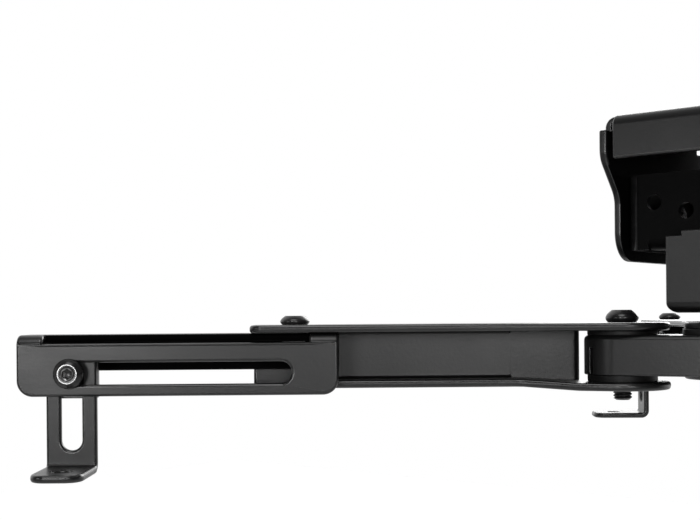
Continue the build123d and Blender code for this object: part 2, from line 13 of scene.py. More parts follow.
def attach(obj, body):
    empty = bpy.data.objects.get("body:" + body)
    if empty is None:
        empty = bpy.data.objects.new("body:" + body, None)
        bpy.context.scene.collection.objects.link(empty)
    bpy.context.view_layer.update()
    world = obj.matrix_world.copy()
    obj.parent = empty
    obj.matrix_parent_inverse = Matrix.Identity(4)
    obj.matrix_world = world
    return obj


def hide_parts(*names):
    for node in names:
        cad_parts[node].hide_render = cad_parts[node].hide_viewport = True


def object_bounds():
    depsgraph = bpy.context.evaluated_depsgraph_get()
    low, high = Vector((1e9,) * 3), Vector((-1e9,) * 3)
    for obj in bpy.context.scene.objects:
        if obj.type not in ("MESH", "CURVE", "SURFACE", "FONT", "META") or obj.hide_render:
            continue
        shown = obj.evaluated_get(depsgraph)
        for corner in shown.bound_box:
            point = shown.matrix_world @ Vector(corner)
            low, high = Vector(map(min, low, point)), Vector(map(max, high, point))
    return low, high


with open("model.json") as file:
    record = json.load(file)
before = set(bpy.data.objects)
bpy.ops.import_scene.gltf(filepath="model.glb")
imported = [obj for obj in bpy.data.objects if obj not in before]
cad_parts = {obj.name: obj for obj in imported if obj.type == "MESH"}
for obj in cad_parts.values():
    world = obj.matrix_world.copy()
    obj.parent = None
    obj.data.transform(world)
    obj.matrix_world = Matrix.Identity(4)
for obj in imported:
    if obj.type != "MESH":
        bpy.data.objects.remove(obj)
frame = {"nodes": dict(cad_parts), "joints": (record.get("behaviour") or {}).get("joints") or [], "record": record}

# Looks of a black steel projector ceiling mount: powder coat, black screws and nylon washers.
# Everything is in metres, in the part's own frame, hanging below the ceiling plate's top face.

log = logging.getLogger("projector_mount")
CAD_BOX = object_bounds()
MILLIMETRE = 0.001
MERGE_DISTANCE = 1e-6
FLAT_ANGLE = math.radians(0.4)
SHARP_ANGLE = math.radians(27.0)
SMOOTH_ANGLE = math.radians(32.0)
HEX_SIXTH = math.pi / 3
HEX_HALF_SIDE = math.pi / 6
UP = Vector((0.0, 0.0, 1.0))
WHITE = (1.0, 1.0, 1.0, 1.0)
DUST_COLOUR = (0.16, 0.16, 0.155, 1.0)
BUMP_STRENGTH = 0.35
MOTTLE_DARKEST = 0.8


class Slot(Enum):
    """Material slots of the part's record."""

    BRACKET = "bracket_black"
    ARM = "arm_black"
    SCREW = "screw_black"
    NYLON = "nylon_black"


class Arm(Enum):
    """The four arms, by where they point from the hub."""

    FRONT_LEFT = "front_left"
    BACK_LEFT = "back_left"
    BACK_RIGHT = "back_right"
    FRONT_RIGHT = "front_right"


class Nodes:
    """Small helper that adds and links shader nodes in one tree."""

    # Places of the colour sockets on Blender's Mix node, which has a set for each data type.
    MIX_FACTOR = 0
    MIX_FIRST = 6
    MIX_SECOND = 7
    MIX_RESULT = 2

    def __init__(self, tree: bpy.types.NodeTree) -> None:
        """Keep the tree that the nodes go into."""
        self.tree = tree

    def add(self, kind: str, **settings: object) -> bpy.types.Node:
        """Add a node and set its properties and input values.

        Args:
            kind: Blender's node type.
            settings: Node properties, or input values under the input's name with _ for spaces.

        Returns:
            The new node.
        """
        node = self.tree.nodes.new(kind)
        for name, value in settings.items():
            if hasattr(node, name):
                setattr(node, name, value)
            else:
                node.inputs[name.replace("_", " ")].default_value = value
        return node

    def link(self, source: bpy.types.NodeSocket, target: bpy.types.NodeSocket) -> None:
        """Join an output to an input."""
        self.tree.links.new(source, target)

    def mix(self, factor: object, first: object, second: object) -> bpy.types.NodeSocket:
        """Mix two colours.

        Args:
            factor: Socket or number of the mix.
            first: Socket or colour at factor zero.
            second: Socket or colour at factor one.

        Returns:
            The mixed colour's socket.
        """
        node = self.add("ShaderNodeMix", data_type="RGBA")
        places = (self.MIX_FACTOR, self.MIX_FIRST, self.MIX_SECOND)
        for index, value in zip(places, (factor, first, second)):
            if isinstance(value, bpy.types.NodeSocket):
                self.link(value, node.inputs[index])
            else:
                node.inputs[index].default_value = value
        return node.outputs[self.MIX_RESULT]

    def math(self, operation: str, first: object, second: object) -> bpy.types.NodeSocket:
        """Apply a maths operation to two sockets or numbers.

        Args:
            operation: Blender's name of the operation.
            first: First socket or number.
            second: Second socket or number.

        Returns:
            The result's socket.
        """
        node = self.add("ShaderNodeMath", operation=operation)
        for index, value in enumerate((first, second)):
            if isinstance(value, bpy.types.NodeSocket):
                self.link(value, node.inputs[index])
            else:
                node.inputs[index].default_value = value
        return node.outputs[0]


def new_group(
    name: str, inputs: dict[str, float], outputs: tuple[str, ...],
) -> tuple[Nodes, bpy.types.Node, bpy.types.Node]:
    """Start a shader node group of plain values.

    Args:
        name: The group's name.
        inputs: Input names and their usual values.
        outputs: Output names.

    Returns:
        The node helper, the group's input node and its output node.
    """
    tree = bpy.data.node_groups.new(name, "ShaderNodeTree")
    for label, value in inputs.items():
        socket = tree.interface.new_socket(label, in_out="INPUT", socket_type="NodeSocketFloat")
        socket.default_value = value
    for label in outputs:
        tree.interface.new_socket(label, in_out="OUTPUT", socket_type="NodeSocketFloat")
    nodes = Nodes(tree)
    return nodes, nodes.add("NodeGroupInput"), nodes.add("NodeGroupOutput")


def coat_grain_group() -> bpy.types.NodeTree:
    """Orange peel of a baked powder coat: a fine height and a slow mottle.

    Returns:
        The group, with outputs Height and Mottle.
    """
    speck_share = 0.5
    inputs = {"Peel scale": 900.0, "Mottle scale": 45.0}
    nodes, given, result = new_group("coat grain", inputs, ("Height", "Mottle"))
    place = nodes.add("ShaderNodeTexCoord").outputs["Object"]
    peel = nodes.add("ShaderNodeTexNoise", Detail=3.0, Roughness=0.55)
    speck = nodes.add("ShaderNodeTexVoronoi", feature="SMOOTH_F1")
    mottle = nodes.add("ShaderNodeTexNoise", Detail=5.0, Roughness=0.6)
    for texture, label in ((peel, "Peel scale"), (speck, "Peel scale"), (mottle, "Mottle scale")):
        nodes.link(place, texture.inputs["Vector"])
        nodes.link(given.outputs[label], texture.inputs["Scale"])
    specks = nodes.math("MULTIPLY", speck.outputs["Distance"], speck_share)
    height = nodes.math("ADD", peel.outputs["Fac"], specks)
    nodes.link(height, result.inputs["Height"])
    nodes.link(mottle.outputs["Fac"], result.inputs["Mottle"])
    return nodes.tree


def rub_group() -> bpy.types.NodeTree:
    """Handling rubs: thin broken streaks and blotches where a finish has been touched.

    Returns:
        The group, with the output Mask.
    """
    streak_stretch = (0.35, 0.35, 2.4)
    reach_share = 0.5
    contrast = 6.0
    nodes, given, result = new_group("handling rub", {"Streak scale": 260.0, "Reach": 0.5}, ("Mask",))
    place = nodes.add("ShaderNodeTexCoord").outputs["Object"]
    stretch = nodes.add("ShaderNodeMapping", vector_type="POINT")
    stretch.inputs["Scale"].default_value = streak_stretch
    nodes.link(place, stretch.inputs["Vector"])
    streak = nodes.add("ShaderNodeTexNoise", Detail=6.0, Roughness=0.7)
    blotch = nodes.add("ShaderNodeTexNoise", Scale=38.0, Detail=3.0)
    nodes.link(stretch.outputs["Vector"], streak.inputs["Vector"])
    nodes.link(place, blotch.inputs["Vector"])
    nodes.link(given.outputs["Streak scale"], streak.inputs["Scale"])
    both = nodes.math("MULTIPLY", streak.outputs["Fac"], blotch.outputs["Fac"])
    lifted = nodes.math("SUBTRACT", both, nodes.math("MULTIPLY", given.outputs["Reach"], reach_share))
    spread = nodes.add("ShaderNodeMath", operation="MULTIPLY", use_clamp=True)
    nodes.link(lifted, spread.inputs[0])
    spread.inputs[1].default_value = contrast
    nodes.link(spread.outputs[0], result.inputs["Mask"])
    return nodes.tree


def dust_group() -> bpy.types.NodeTree:
    """Light dust that settles on faces that look up.

    Returns:
        The group, with the output Mask.
    """
    steepest = 0.55
    nodes, given, result = new_group("settled dust", {"Speck scale": 700.0, "Amount": 0.1}, ("Mask",))
    facing = nodes.add("ShaderNodeSeparateXYZ")
    nodes.link(nodes.add("ShaderNodeNewGeometry").outputs["Normal"], facing.inputs[0])
    raised = nodes.add("ShaderNodeMapRange", clamp=True)
    nodes.link(facing.outputs["Z"], raised.inputs["Value"])
    raised.inputs["From Min"].default_value = steepest
    specks = nodes.add("ShaderNodeTexNoise", Detail=4.0, Roughness=0.7)
    nodes.link(nodes.add("ShaderNodeTexCoord").outputs["Object"], specks.inputs["Vector"])
    nodes.link(given.outputs["Speck scale"], specks.inputs["Scale"])
    shade = nodes.math("MULTIPLY", raised.outputs["Result"], specks.outputs["Fac"])
    nodes.link(nodes.math("MULTIPLY", shade, given.outputs["Amount"]), result.inputs["Mask"])
    return nodes.tree


@dataclass(frozen=True)
class Finish:
    """One surface finish: a dark body colour with grain, rubs and a little dust."""

    name: str
    slot: Slot
    colour: tuple[float, float, float]
    rubbed: tuple[float, float, float]
    roughness: float
    roughness_spread: float
    metallic: float
    specular: float
    peel_scale: float
    peel_height: float
    rub_reach: float
    dust: float

    def material(self) -> bpy.types.Material:
        """Make the finish's material, or return the one already made.

        Returns:
            The Blender material.
        """
        made = bpy.data.materials.get(self.name)
        if made:
            return made
        made = bpy.data.materials.new(self.name)
        made.use_nodes = True
        made.diffuse_color = (*self.colour, 1.0)
        nodes = Nodes(made.node_tree)
        shader = made.node_tree.nodes["Principled BSDF"]
        grain = nodes.add("ShaderNodeGroup", node_tree=bpy.data.node_groups["coat grain"])
        grain.inputs["Peel scale"].default_value = self.peel_scale
        rub = nodes.add("ShaderNodeGroup", node_tree=bpy.data.node_groups["handling rub"])
        rub.inputs["Reach"].default_value = self.rub_reach
        dust = nodes.add("ShaderNodeGroup", node_tree=bpy.data.node_groups["settled dust"])
        dust.inputs["Amount"].default_value = self.dust
        dark = tuple(value * MOTTLE_DARKEST for value in self.colour)
        body = nodes.mix(grain.outputs["Mottle"], (*dark, 1.0), (*self.colour, 1.0))
        worn = nodes.mix(rub.outputs["Mask"], body, (*self.rubbed, 1.0))
        dusty = nodes.mix(dust.outputs["Mask"], worn, DUST_COLOUR)
        nodes.link(dusty, shader.inputs["Base Color"])
        mottle = nodes.math("SUBTRACT", grain.outputs["Mottle"], 0.5)
        swing = nodes.math("MULTIPLY", mottle, self.roughness_spread)
        nodes.link(nodes.math("ADD", swing, self.roughness), shader.inputs["Roughness"])
        shader.inputs["Metallic"].default_value = self.metallic
        shader.inputs["Specular IOR Level"].default_value = self.specular
        bump = nodes.add("ShaderNodeBump", Strength=BUMP_STRENGTH, Distance=self.peel_height)
        nodes.link(grain.outputs["Height"], bump.inputs["Height"])
        nodes.link(bump.outputs["Normal"], shader.inputs["Normal"])
        return made


BRACKET_COAT = Finish(
    name="bracket powder coat", slot=Slot.BRACKET,
    colour=(0.006, 0.006, 0.0062), rubbed=(0.014, 0.014, 0.0145),
    roughness=0.34, roughness_spread=0.10, metallic=0.0, specular=0.5,
    peel_scale=950.0, peel_height=0.00006, rub_reach=0.62, dust=0.03,
)
ARM_COAT = Finish(
    name="arm powder coat", slot=Slot.ARM,
    colour=(0.008, 0.008, 0.0082), rubbed=(0.018, 0.018, 0.0185),
    roughness=0.34, roughness_spread=0.12, metallic=0.0, specular=0.5,
    peel_scale=1000.0, peel_height=0.00006, rub_reach=0.58, dust=0.03,
)
# Painted shade: the cradle, in the shadow of the ceiling plate, gets a darker and nearly unreflecting copy of the
# bracket coat. Its bends keep the glossy edge coat.
SHADED_CRADLE_COAT = Finish(
    name="cradle coat with painted shade", slot=Slot.BRACKET,
    colour=(0.003, 0.003, 0.0031), rubbed=(0.008, 0.008, 0.0082),
    roughness=0.42, roughness_spread=0.10, metallic=0.0, specular=0.05,
    peel_scale=950.0, peel_height=0.00006, rub_reach=0.62, dust=0.01,
)
# Painted shade: a darker, matt coat on faces inside the hollows, where shadow falls.
PAINTED_SHADE_COAT = Finish(
    name="painted shade in hollows", slot=Slot.BRACKET,
    colour=(0.002, 0.002, 0.0021), rubbed=(0.005, 0.005, 0.0052),
    roughness=0.6, roughness_spread=0.10, metallic=0.0, specular=0.015,
    peel_scale=950.0, peel_height=0.00006, rub_reach=0.62, dust=0.0,
)
EDGE_COAT = Finish(
    name="thin coat on edges", slot=Slot.ARM,
    colour=(0.008, 0.008, 0.0082), rubbed=(0.024, 0.024, 0.024),
    roughness=0.22, roughness_spread=0.10, metallic=0.0, specular=0.75,
    peel_scale=1200.0, peel_height=0.00001, rub_reach=0.45, dust=0.01,
)
BLACK_OXIDE = Finish(
    name="black oxide screw", slot=Slot.SCREW,
    colour=(0.010, 0.010, 0.0105), rubbed=(0.04, 0.039, 0.038),
    roughness=0.24, roughness_spread=0.14, metallic=0.0, specular=0.5,
    peel_scale=2200.0, peel_height=0.00002, rub_reach=0.5, dust=0.02,
)
# Painted highlight: a pale, metallic ring on the head's rim and the socket's mouth stands in for light caught on a
# chamfer.
PAINTED_HIGHLIGHT = Finish(
    name="painted highlight ring", slot=Slot.SCREW,
    colour=(0.22, 0.22, 0.225), rubbed=(0.36, 0.36, 0.36),
    roughness=0.22, roughness_spread=0.10, metallic=0.7, specular=0.5,
    peel_scale=2600.0, peel_height=0.00001, rub_reach=0.4, dust=0.0,
)
NYLON = Finish(
    name="black nylon", slot=Slot.NYLON,
    colour=(0.009, 0.009, 0.009), rubbed=(0.018, 0.018, 0.018),
    roughness=0.45, roughness_spread=0.08, metallic=0.0, specular=0.25,
    peel_scale=1500.0, peel_height=0.00003, rub_reach=0.6, dust=0.02,
)


def body_of_node(node: str) -> str:
    """Body that a node rides on."""
    groups = frame["record"]["behaviour"]["bodies"]
    return next(body for body, members in groups.items() if node in members)


def joint_axis(joint: str) -> Vector:
    """Direction of a joint's axis, at rest."""
    found = next(row for row in frame["joints"] if row["name"] == joint)
    return Vector(found["axis"]).normalized()


def joint_place(joint: str) -> Vector:
    """Place of a hinge's axis, at rest."""
    found = next(row for row in frame["joints"] if row["name"] == joint)
    return Vector(found["pos_m"])


def seat(piece: bpy.types.Object, node: str) -> bpy.types.Object:
    """Put a modelled piece in a node's place.

    Args:
        piece: The modelled object, in the part's frame.
        node: The node that it stands for.

    Returns:
        The same object.
    """
    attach(piece, body_of_node(node))
    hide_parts(node)
    log.info("%s: %d faces on %s", piece.name, len(piece.data.polygons), body_of_node(node))
    return piece


def new_piece(name: str, mesh: bpy.types.Mesh, finishes: tuple[Finish, ...]) -> bpy.types.Object:
    """Make a scene object from a mesh.

    Args:
        name: The object's name.
        mesh: Its mesh.
        finishes: Finishes for its material indices, in order.

    Returns:
        The linked object.
    """
    piece = bpy.data.objects.new(name, mesh)
    for finish in finishes:
        mesh.materials.append(finish.material())
    bpy.context.scene.collection.objects.link(piece)
    return piece


class Face(IntEnum):
    """Material indices of a sheet piece."""

    BODY = 0
    EDGE = 1
    # Faces that carry the painted shade of a hollow.
    INSIDE = 2


@dataclass
class SheetPiece:
    """A folded or turned piece: the node's own form with its sharp edges eased as a coat eases them.

    The shade test picks faces that get painted shade, a darker and matt coat, and is_rounded the
    corners that get the wide rounding. A piece with bright bends has its edge coat on them too, which
    keeps them out of its painted shade. A clamped piece has edges so close together that the easing
    has to shrink between them.
    """

    node: str
    finish: Finish
    edge: float = 0.3 * MILLIMETRE
    segments: int = 2
    is_inside: Callable[[Vector], bool] | None = None
    is_rounded: Callable[[Vector], bool] | None = None
    bright_bends: bool = False
    clamped: bool = False
    rounding: float = 2.2 * MILLIMETRE
    rounding_segments: int = 6
    bend_lean: float = 0.12
    normal_weight: int = 80

    def build(self) -> bpy.types.Object:
        """Model the piece from its node and seat it.

        Returns:
            The finished object.
        """
        shape = bmesh.new()
        shape.from_mesh(frame["nodes"][self.node].data)
        bmesh.ops.remove_doubles(shape, verts=shape.verts, dist=MERGE_DISTANCE)
        bmesh.ops.dissolve_limit(shape, angle_limit=FLAT_ANGLE, verts=shape.verts, edges=shape.edges)
        shape.normal_update()
        for face in shape.faces:
            face.material_index = Face.BODY
        round_over = {"profile": 0.5, "affect": "EDGES", "loop_slide": True}
        if self.is_rounded:
            bmesh.ops.bevel(
                shape, geom=self.rounded_edges(shape), offset=self.rounding,
                segments=self.rounding_segments, **round_over,
            )
            shape.normal_update()
        bmesh.ops.bevel(
            shape, geom=self.sharp_edges(shape), offset=self.edge, segments=self.segments,
            clamp_overlap=self.clamped, material=Face.EDGE, **round_over,
        )
        mesh = bpy.data.meshes.new(self.node + "_eased")
        for face in shape.faces:
            face.smooth = True
            # Faces in a hollow get painted shade, a darker and matt coat.
            if self.is_inside and self.is_inside(face.calc_center_median()):
                face.material_index = Face.INSIDE
            # Slanting bend faces get the glossy edge coat, which keeps them out of the piece's painted shade.
            if self.bright_bends and min(abs(face.normal.x), abs(face.normal.y)) > self.bend_lean:
                face.material_index = Face.EDGE
        shape.to_mesh(mesh)
        shape.free()
        mesh.set_sharp_from_angle(angle=SMOOTH_ANGLE)
        piece = new_piece(self.node + "_eased", mesh, (self.finish, self.edge_finish(), PAINTED_SHADE_COAT))
        even = piece.modifiers.new("even normals", "WEIGHTED_NORMAL")
        even.keep_sharp = True
        even.weight = self.normal_weight
        return seat(piece, self.node)

    def edge_finish(self) -> Finish:
        """Finish of the eased edges: thinner coat on painted sheet, the same elsewhere."""
        return EDGE_COAT if self.finish in (BRACKET_COAT, SHADED_CRADLE_COAT, ARM_COAT) else self.finish

    def rounded_edges(self, shape: bmesh.types.BMesh) -> list[bmesh.types.BMEdge]:
        """Edges of a shape whose ends both lie where the wide rounding goes."""
        return [edge for edge in shape.edges if all(self.is_rounded(end.co) for end in edge.verts)]

    @staticmethod
    def sharp_edges(shape: bmesh.types.BMesh) -> list[bmesh.types.BMEdge]:
        """Outward edges of a shape that are sharp enough to ease.

        Args:
            shape: The shape to search.

        Returns:
            Its sharp outward edges.
        """
        return [
            edge for edge in shape.edges
            if edge.is_manifold and edge.calc_face_angle_signed() > SHARP_ANGLE
        ]


class Ring(Enum):
    """Kinds of ring that a screw is turned from."""

    ROUND = "round"
    # Rim rings carry the painted highlight.
    RIM = "rim"
    THREAD = "thread"
    HEX = "hex"


# A ring's kind, radius and height.
Row = tuple[Ring, float, float]


@dataclass
class SocketScrew:
    """A domed hexagon socket screw with a rolled thread, in a node's place along an axis.

    Shares of the head are of its radius and its height, and shares of the thread are of its pitch.
    """

    node: str
    axis: Vector
    head: float
    head_height: float
    flat: float
    socket: float
    shank: float
    pitch: float
    thread_length: float
    paired: bool = False
    turns: int = 48
    dome_steps: int = 7
    thread_steps: int = 10
    thread_depth: float = 0.55
    thread_flank: float = 1.2
    longest_thread: float = 0.9
    tip_share: float = 0.86
    tip_chamfer: float = 0.3
    thread_start: float = 0.5
    thread_runout: float = 0.2
    tuck: tuple[tuple[float, float], ...] = ((0.85, 0.0), (0.93, 0.12), (0.985, 0.25), (1.0, 0.36))
    dome_lean: float = 1.5
    dome_rise: float = 0.85
    socket_floor: float = 0.4
    socket_mouth: tuple[float, float] = (1.16, 1.1)
    drill_point: float = 0.3
    dish_depth: float = 0.12 * MILLIMETRE
    rim_outer: float = 0.06 * MILLIMETRE
    rim_inner: float = 0.3 * MILLIMETRE
    dish_inset: float = 0.4 * MILLIMETRE
    mouth_drop: float = 0.05 * MILLIMETRE
    mouth_depth: float = 0.3 * MILLIMETRE
    drill_depth: float = 0.25 * MILLIMETRE

    def build(self) -> bpy.types.Object:
        """Model the screw, or the pair of screws of a two-sided node, and seat it.

        Returns:
            The finished object.
        """
        mesh = bpy.data.meshes.new(self.node + "_turned")
        shape = bmesh.new()
        for sign in (-1, 1) if self.paired else (1,):
            self.add_screw(shape, self.axis * sign)
        shape.normal_update()
        for face in shape.faces:
            face.smooth = True
        shape.to_mesh(mesh)
        shape.free()
        mesh.set_sharp_from_angle(angle=SMOOTH_ANGLE)
        piece = new_piece(self.node + "_turned", mesh, (BLACK_OXIDE, PAINTED_HIGHLIGHT))
        return seat(piece, self.node)

    def add_screw(self, shape: bmesh.types.BMesh, axis: Vector) -> None:
        """Add one screw's closed surface, its head towards the axis.

        Args:
            shape: The mesh to add to.
            axis: Direction from the shank to the head.
        """
        spots = [vertex.co for vertex in frame["nodes"][self.node].data.vertices]
        if self.paired:
            spots = [spot for spot in spots if spot.dot(axis) > 0]
        heights = [spot.dot(axis) for spot in spots]
        top = max(heights)
        length = top - min(heights) - self.head_height
        across = [spot - axis * spot.dot(axis) for spot in spots]
        middle = Vector([(min(part) + max(part)) / 2 for part in zip(*across)])
        turn = axis.to_track_quat("Z", "Y").to_matrix().to_4x4()
        place = Matrix.Translation(middle + axis * (top - self.head_height)) @ turn
        rows = self.rows(length)
        rings = [self.ring(shape, place, row) for row in rows]
        for row, lower, upper in zip(rows, rings, rings[1:]):
            for index in range(self.turns):
                after = (index + 1) % self.turns
                face = shape.faces.new((lower[index], lower[after], upper[after], upper[index]))
                # Rim rings get the painted highlight finish.
                face.material_index = int(row[0] is Ring.RIM)
        shape.faces.new(list(reversed(rings[0])))
        shape.faces.new(rings[-1])

    def rows(self, length: float) -> list[Row]:
        """Rings of the screw from its tip up over the head and down into the socket."""
        return self.shank_rows(length) + self.head_rows() + self.socket_rows()

    def shank_rows(self, length: float) -> list[Row]:
        """Rings of the chamfered tip, the thread and the plain shank.

        Args:
            length: Shank length under the head.

        Returns:
            The rings, from the tip up.
        """
        radius = self.shank / 2
        root = radius - self.thread_depth * self.pitch
        thread_top = -length + min(self.thread_length, length * self.longest_thread)
        threaded = thread_top + length - self.pitch
        rows = [
            (Ring.ROUND, root * self.tip_share, -length),
            (Ring.ROUND, root, -length + self.tip_chamfer * self.pitch),
        ]
        count = max(2, int(threaded / self.pitch * self.thread_steps))
        for step in range(count + 1):
            height = -length + self.thread_start * self.pitch + step / count * threaded
            rows.append((Ring.THREAD, radius, height))
        runout = thread_top + self.thread_runout * self.pitch
        return rows + [(Ring.ROUND, radius, runout), (Ring.ROUND, radius, 0.0)]

    def head_rows(self) -> list[Row]:
        """Rings of the head, tucked in below its belt and domed above it.

        Returns:
            The rings, from the underside up to the flat.
        """
        rim = self.head / 2
        crown = self.flat / 2
        rows = [(Ring.ROUND, rim * out, self.head_height * up) for out, up in self.tuck]
        belt = rows[-1][2]
        for step in range(1, self.dome_steps + 1):
            share = step / self.dome_steps
            out = rim - (rim - crown) * share ** self.dome_lean
            rows.append((Ring.ROUND, out, belt + (self.head_height - belt) * share ** self.dome_rise))
        return rows

    def socket_rows(self) -> list[Row]:
        """Rings of the rim with its painted highlight, the shallow dish, the socket and its drill point.

        Returns:
            The rings, from the flat down to the socket's bottom.
        """
        crown = self.flat / 2
        reach = self.socket / 2 / math.cos(HEX_HALF_SIDE)
        floor = self.head_height * self.socket_floor
        dish = self.head_height - self.dish_depth
        wide, narrow = self.socket_mouth
        return [
            (Ring.RIM, crown - self.rim_outer, self.head_height),
            (Ring.RIM, crown - self.rim_inner, self.head_height),
            (Ring.ROUND, crown - self.dish_inset, dish),
            (Ring.ROUND, reach * wide, dish),
            (Ring.RIM, reach * narrow, dish - self.mouth_drop),
            (Ring.HEX, reach, dish - self.mouth_depth),
            (Ring.HEX, reach, floor),
            (Ring.ROUND, reach * self.drill_point, floor - self.drill_depth),
        ]

    def ring(self, shape: bmesh.types.BMesh, place: Matrix, row: Row) -> list[bmesh.types.BMVert]:
        """Add one ring of points.

        Args:
            shape: The mesh to add to.
            place: Where the screw stands.
            row: The ring's kind, radius and height.

        Returns:
            The ring's vertices.
        """
        kind, radius, height = row
        points = []
        for index in range(self.turns):
            angle = index / self.turns * math.tau
            out = radius
            if kind is Ring.HEX:
                from_flat = (angle + HEX_HALF_SIDE) % HEX_SIXTH - HEX_HALF_SIDE
                out = radius * math.cos(HEX_HALF_SIDE) / math.cos(from_flat)
            if kind is Ring.THREAD:
                phase = (height / self.pitch - angle / math.tau) % 1.0
                out = radius - self.thread_depth * self.pitch * abs(2.0 * phase - 1.0) ** self.thread_flank
            spot = Vector((out * math.cos(angle), out * math.sin(angle), height))
            points.append(shape.verts.new(place @ spot))
        return points


@dataclass
class CeilingGroup:
    """Ceiling bracket, tilt cradle and their pivots."""

    bracket_edge: float = 0.7 * MILLIMETRE
    cradle_edge: float = 0.5 * MILLIMETRE
    edge_segments: int = 3
    hollow_low: tuple[float, float, float] = (-0.0633, -0.0377, -0.06)
    hollow_high: tuple[float, float, float] = (0.0633, 0.0377, -0.0024)
    bolt_head: float = 10.5 * MILLIMETRE
    bolt_head_height: float = 4.0 * MILLIMETRE
    bolt_flat: float = 6.4 * MILLIMETRE
    bolt_socket: float = 4.0 * MILLIMETRE
    bolt: float = 6.0 * MILLIMETRE
    pitch: float = 1.0 * MILLIMETRE
    thread_length: float = 9.0 * MILLIMETRE

    def build(self) -> list[bpy.types.Object]:
        """Model the group's pieces.

        Returns:
            The finished objects.
        """
        bracket = SheetPiece(
            "ceiling_bracket", BRACKET_COAT, self.bracket_edge, self.edge_segments, is_inside=self.in_shaded_hollow,
        )
        # The cradle's walls carry painted shade, and its bends are left out of it.
        cradle = SheetPiece(
            "tilt_cradle", SHADED_CRADLE_COAT, self.cradle_edge, self.edge_segments, bright_bends=True, clamped=True,
        )
        return [
            bracket.build(),
            cradle.build(),
            SheetPiece("pitch_nuts", BLACK_OXIDE).build(),
            SheetPiece("roll_nuts", BLACK_OXIDE).build(),
            self.bolts("pitch_bolts", Vector((1.0, 0.0, 0.0))).build(),
            self.bolts("roll_bolts", Vector((0.0, 1.0, 0.0))).build(),
        ]

    def in_shaded_hollow(self, spot: Vector) -> bool:
        """Whether a spot lies between the flanges and ears, where the faces get painted shade."""
        return all(low < value < high for low, value, high in zip(self.hollow_low, spot, self.hollow_high))

    def bolts(self, node: str, axis: Vector) -> SocketScrew:
        """Pair of pivot bolts that face away from each other along an axis.

        Args:
            node: The node of the pair.
            axis: The line of both bolts.

        Returns:
            The screws, not yet built.
        """
        return SocketScrew(
            node, axis, self.bolt_head, self.bolt_head_height, self.bolt_flat, self.bolt_socket,
            self.bolt, self.pitch, self.thread_length, paired=True,
        )


@dataclass
class HubGroup:
    """Hub bracket, swivel and hub plate."""

    bracket_edge: float = 0.45 * MILLIMETRE
    plate_edge: float = 0.4 * MILLIMETRE
    edge_segments: int = 3
    bolt_head: float = 14.0 * MILLIMETRE
    bolt_head_height: float = 4.4 * MILLIMETRE
    bolt_flat: float = 9.0 * MILLIMETRE
    bolt_socket: float = 5.0 * MILLIMETRE
    bolt: float = 8.0 * MILLIMETRE
    pitch: float = 1.25 * MILLIMETRE
    thread_length: float = 9.0 * MILLIMETRE

    def build(self) -> list[bpy.types.Object]:
        """Model the group's pieces.

        Returns:
            The finished objects.
        """
        yaw = SocketScrew(
            "yaw_bolt", UP, self.bolt_head, self.bolt_head_height, self.bolt_flat, self.bolt_socket,
            self.bolt, self.pitch, self.thread_length,
        )
        return [
            SheetPiece("hub_bracket", BRACKET_COAT, self.bracket_edge, self.edge_segments).build(),
            SheetPiece("hub_plate", BRACKET_COAT, self.plate_edge, self.edge_segments).build(),
            SheetPiece("yaw_spacer", NYLON).build(),
            SheetPiece("yaw_nut", BLACK_OXIDE).build(),
            yaw.build(),
        ]


